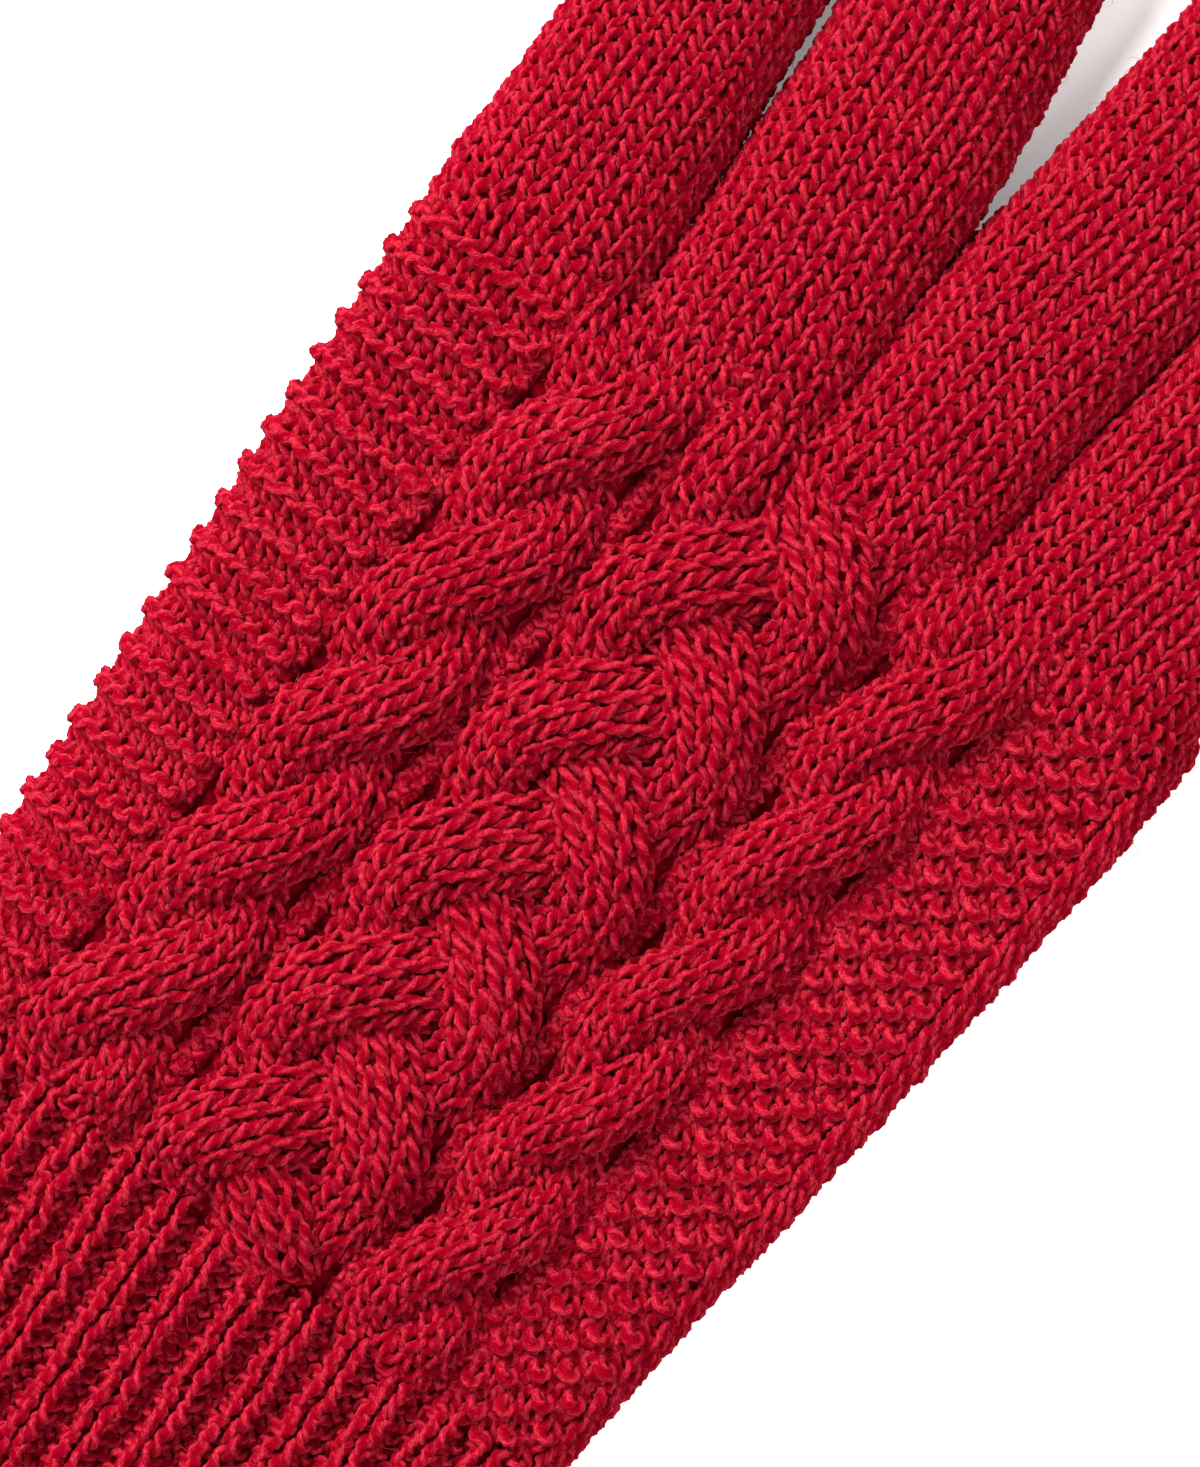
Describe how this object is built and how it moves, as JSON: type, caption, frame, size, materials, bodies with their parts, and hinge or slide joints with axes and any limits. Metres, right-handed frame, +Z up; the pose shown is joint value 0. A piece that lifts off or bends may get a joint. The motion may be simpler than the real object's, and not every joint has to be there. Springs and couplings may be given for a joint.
{
  "type": "knitted glove",
  "caption": "Cable-knit wool glove for the left hand with a long ribbed cuff, garter side panels, and fingers and thumb that bend.",
  "frame": {"origin": "middle of the base of the whole glove, lying flat with its palm down", "axes": "+Y from the cuff to the fingertips, +X from the little finger to the index finger, +Z up, out of the back of the hand"},
  "size_m": [0.0965, 0.2364, 0.0154],
  "materials": {
    "knit_yarn": "matt wool yarn, plain and garter knit",
    "cable_yarn": "matt wool yarn, cable knit",
    "rib_yarn": "matt wool yarn, ribbed knit"
  },
  "bodies": {
    "hand": {"palm_panel": "knit_yarn", "back_panel": "knit_yarn", "thumb_gusset": "knit_yarn", "little_side_garter": "knit_yarn", "index_side_garter": "knit_yarn", "index_edge_wales": "knit_yarn", "left_cable_strand_a": "cable_yarn", "left_cable_strand_b": "cable_yarn", "plait_strand_a": "cable_yarn", "plait_strand_b": "cable_yarn", "plait_strand_c": "cable_yarn", "right_cable_strand_a": "cable_yarn", "right_cable_strand_b": "cable_yarn", "little_ring_bridge": "knit_yarn", "ring_middle_bridge": "knit_yarn", "middle_index_bridge": "knit_yarn"},
    "cuff": {"cuff_tube": "rib_yarn", "cuff_ribs": "rib_yarn", "cast_on_edge": "rib_yarn"},
    "little_finger_base": {"little_finger_base": "knit_yarn"},
    "little_finger_middle": {"little_finger_middle": "knit_yarn"},
    "little_finger_end": {"little_finger_end": "knit_yarn", "little_finger_tip": "knit_yarn"},
    "ring_finger_base": {"ring_finger_base": "knit_yarn"},
    "ring_finger_middle": {"ring_finger_middle": "knit_yarn"},
    "ring_finger_end": {"ring_finger_end": "knit_yarn", "ring_finger_tip": "knit_yarn"},
    "middle_finger_base": {"middle_finger_base": "knit_yarn"},
    "middle_finger_middle": {"middle_finger_middle": "knit_yarn"},
    "middle_finger_end": {"middle_finger_end": "knit_yarn", "middle_finger_tip": "knit_yarn"},
    "index_finger_base": {"index_finger_base": "knit_yarn"},
    "index_finger_middle": {"index_finger_middle": "knit_yarn"},
    "index_finger_end": {"index_finger_end": "knit_yarn", "index_finger_tip": "knit_yarn"},
    "thumb_base": {"thumb_base": "knit_yarn"},
    "thumb_end": {"thumb_end": "knit_yarn", "thumb_tip": "knit_yarn"}
  },
  "joints": [
    {"name": "wrist_bend", "type": "hinge", "parent": "hand", "child": "cuff", "pos_m": [0.0019, -0.05322, 0.0054], "axis": [1, 0, 0], "range_deg": [-50, 60]},
    {"name": "little_knuckle", "type": "hinge", "parent": "hand", "child": "little_finger_base", "pos_m": [-0.03475, 0.03978, 0.004], "axis": [-1, 0, 0], "range_deg": [-25, 85]},
    {"name": "little_bend", "type": "hinge", "parent": "little_finger_base", "child": "little_finger_middle", "pos_m": [-0.03662, 0.05949, 0.004], "axis": [-1, 0, 0], "range_deg": [0, 95]},
    {"name": "little_end_bend", "type": "hinge", "parent": "little_finger_middle", "child": "little_finger_end", "pos_m": [-0.03827, 0.07701, 0.004], "axis": [-1, 0, 0], "range_deg": [0, 62]},
    {"name": "ring_knuckle", "type": "hinge", "parent": "hand", "child": "ring_finger_base", "pos_m": [-0.01305, 0.04178, 0.004], "axis": [-1, 0, 0], "range_deg": [-25, 85]},
    {"name": "ring_bend", "type": "hinge", "parent": "ring_finger_base", "child": "ring_finger_middle", "pos_m": [-0.01542, 0.06687, 0.004], "axis": [-1, 0, 0], "range_deg": [0, 95]},
    {"name": "ring_end_bend", "type": "hinge", "parent": "ring_finger_middle", "child": "ring_finger_end", "pos_m": [-0.01753, 0.08917, 0.004], "axis": [-1, 0, 0], "range_deg": [0, 62]},
    {"name": "middle_knuckle", "type": "hinge", "parent": "hand", "child": "middle_finger_base", "pos_m": [0.00835, 0.04328, 0.004], "axis": [-1, 0, 0], "range_deg": [-25, 85]},
    {"name": "middle_bend", "type": "hinge", "parent": "middle_finger_base", "child": "middle_finger_middle", "pos_m": [0.00948, 0.07025, 0.004], "axis": [-1, 0, 0], "range_deg": [0, 95]},
    {"name": "middle_end_bend", "type": "hinge", "parent": "middle_finger_middle", "child": "middle_finger_end", "pos_m": [0.01048, 0.09423, 0.004], "axis": [-1, 0, 0], "range_deg": [0, 62]},
    {"name": "index_knuckle", "type": "hinge", "parent": "hand", "child": "index_finger_base", "pos_m": [0.03175, 0.04178, 0.004], "axis": [-1, 0, 0], "range_deg": [-25, 85]},
    {"name": "index_bend", "type": "hinge", "parent": "index_finger_base", "child": "index_finger_middle", "pos_m": [0.03431, 0.06613, 0.004], "axis": [-1, 0, 0], "range_deg": [0, 95]},
    {"name": "index_end_bend", "type": "hinge", "parent": "index_finger_middle", "child": "index_finger_end", "pos_m": [0.03658, 0.08776, 0.004], "axis": [-1, 0, 0], "range_deg": [0, 62]},
    {"name": "thumb_swing", "type": "hinge", "parent": "hand", "child": "thumb_base", "pos_m": [0.02765, -0.01542, 0.0036], "axis": [0, 0, -1], "range_deg": [0, 60]},
    {"name": "thumb_bend", "type": "hinge", "parent": "thumb_base", "child": "thumb_end", "pos_m": [0.02765, 0.00434, 0.0036], "axis": [-1, 0, 0], "range_deg": [0, 70]}
  ],
  "couplings": [
    {"joint": "little_end_bend", "follows": "little_bend", "ratio": 0.65},
    {"joint": "ring_end_bend", "follows": "ring_bend", "ratio": 0.65},
    {"joint": "middle_end_bend", "follows": "middle_bend", "ratio": 0.65},
    {"joint": "index_end_bend", "follows": "index_bend", "ratio": 0.65}
  ]
}
